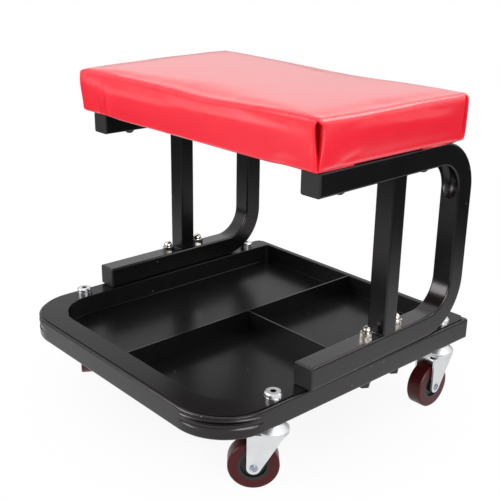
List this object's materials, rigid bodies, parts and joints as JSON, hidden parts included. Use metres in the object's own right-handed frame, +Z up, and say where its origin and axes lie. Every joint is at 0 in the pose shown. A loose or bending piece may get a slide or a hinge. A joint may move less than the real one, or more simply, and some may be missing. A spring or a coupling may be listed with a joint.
{
  "type": "creeper seat",
  "caption": "Rolling mechanic's seat: padded red cushion on two bent-tube side frames over a divided tool tray on swivel casters.",
  "frame": {"origin": "on the floor, midway across the base frame's width and depth", "axes": "+X across the seat to the right side frame, +Y from the open front to the bends at the rear, +Z up"},
  "size_m": [0.3928, 0.391, 0.3781],
  "materials": {
    "frame_paint": "satin black powder coat",
    "zinc_plate": "bright zinc plate, pressed steel",
    "zinc_hardware": "bright zinc plated fasteners",
    "black_hardware": "black oxide fasteners",
    "nickel_nut": "polished nickel acorn nuts",
    "ball_steel": "polished bearing balls",
    "weld": "painted weld bead",
    "plug_plastic": "black moulded plastic",
    "vinyl": "glossy red vinyl with a fine grain",
    "foam": "open-cell foam",
    "board": "plywood",
    "tread": "dark maroon polyurethane, slightly clear",
    "core": "dark grey moulded plastic",
    "bush": "plain steel"
  },
  "bodies": {
    "frame": {"base_tube": "frame_paint", "tray_pan": "frame_paint", "tray_divider_long": "frame_paint", "tray_divider_cross": "frame_paint", "side_tube_left": "frame_paint", "post_left": "frame_paint", "side_tube_right": "frame_paint", "post_right": "frame_paint", "weld_beads": "weld", "end_cap_lower_left": "plug_plastic", "end_cap_upper_left": "plug_plastic", "base_cap_left": "plug_plastic", "end_cap_lower_right": "plug_plastic", "end_cap_upper_right": "plug_plastic", "base_cap_right": "plug_plastic", "frame_bolts": "black_hardware", "frame_washers": "black_hardware", "acorn_nuts": "nickel_nut", "caster_bolts": "zinc_hardware", "caster_spring_washers": "zinc_hardware", "caster_washers": "zinc_hardware", "caster_nuts": "zinc_hardware", "caster_cup_front_left": "zinc_plate", "caster_cup_front_right": "zinc_plate", "caster_cup_rear_left": "zinc_plate", "caster_cup_rear_right": "zinc_plate", "seat_cover": "vinyl", "seat_foam": "foam", "seat_board": "board", "seat_screws": "black_hardware", "seat_washers": "black_hardware", "seat_inserts": "zinc_hardware", "seat_staples": "zinc_hardware"},
    "caster_front_left": {"fork_front_left": "zinc_plate", "balls_front_left": "ball_steel", "axle_front_left": "zinc_hardware", "bush_front_left": "bush"},
    "wheel_front_left": {"wheel_core_front_left": "core", "wheel_tread_front_left": "tread"},
    "caster_front_right": {"fork_front_right": "zinc_plate", "balls_front_right": "ball_steel", "axle_front_right": "zinc_hardware", "bush_front_right": "bush"},
    "wheel_front_right": {"wheel_core_front_right": "core", "wheel_tread_front_right": "tread"},
    "caster_rear_left": {"fork_rear_left": "zinc_plate", "balls_rear_left": "ball_steel", "axle_rear_left": "zinc_hardware", "bush_rear_left": "bush"},
    "wheel_rear_left": {"wheel_core_rear_left": "core", "wheel_tread_rear_left": "tread"},
    "caster_rear_right": {"fork_rear_right": "zinc_plate", "balls_rear_right": "ball_steel", "axle_rear_right": "zinc_hardware", "bush_rear_right": "bush"},
    "wheel_rear_right": {"wheel_core_rear_right": "core", "wheel_tread_rear_right": "tread"}
  },
  "joints": [
    {"name": "swivel_front_left", "type": "hinge", "parent": "frame", "child": "caster_front_left", "pos_m": [-0.174, -0.1135, 0.0735], "axis": [0, 0, 1], "continuous": true},
    {"name": "spin_front_left", "type": "hinge", "parent": "caster_front_left", "child": "wheel_front_left", "pos_m": [-0.15815, -0.12265, 0.0265], "axis": [0.5, 0.866, 0], "continuous": true},
    {"name": "swivel_front_right", "type": "hinge", "parent": "frame", "child": "caster_front_right", "pos_m": [0.174, -0.1135, 0.0735], "axis": [0, 0, 1], "continuous": true},
    {"name": "spin_front_right", "type": "hinge", "parent": "caster_front_right", "child": "wheel_front_right", "pos_m": [0.16199, -0.12731, 0.0265], "axis": [0.7547, -0.6561, 0], "continuous": true},
    {"name": "swivel_rear_left", "type": "hinge", "parent": "frame", "child": "caster_rear_left", "pos_m": [-0.174, 0.1585, 0.0735], "axis": [0, 0, 1], "continuous": true},
    {"name": "spin_rear_left", "type": "hinge", "parent": "caster_rear_left", "child": "wheel_rear_left", "pos_m": [-0.17177, 0.14034, 0.0265], "axis": [0.9925, 0.1219, 0], "continuous": true},
    {"name": "swivel_rear_right", "type": "hinge", "parent": "frame", "child": "caster_rear_right", "pos_m": [0.174, 0.1585, 0.0735], "axis": [0, 0, 1], "continuous": true},
    {"name": "spin_rear_right", "type": "hinge", "parent": "caster_rear_right", "child": "wheel_rear_right", "pos_m": [0.17432, 0.1402, 0.0265], "axis": [0.9998, 0.0175, 0], "continuous": true}
  ]
}
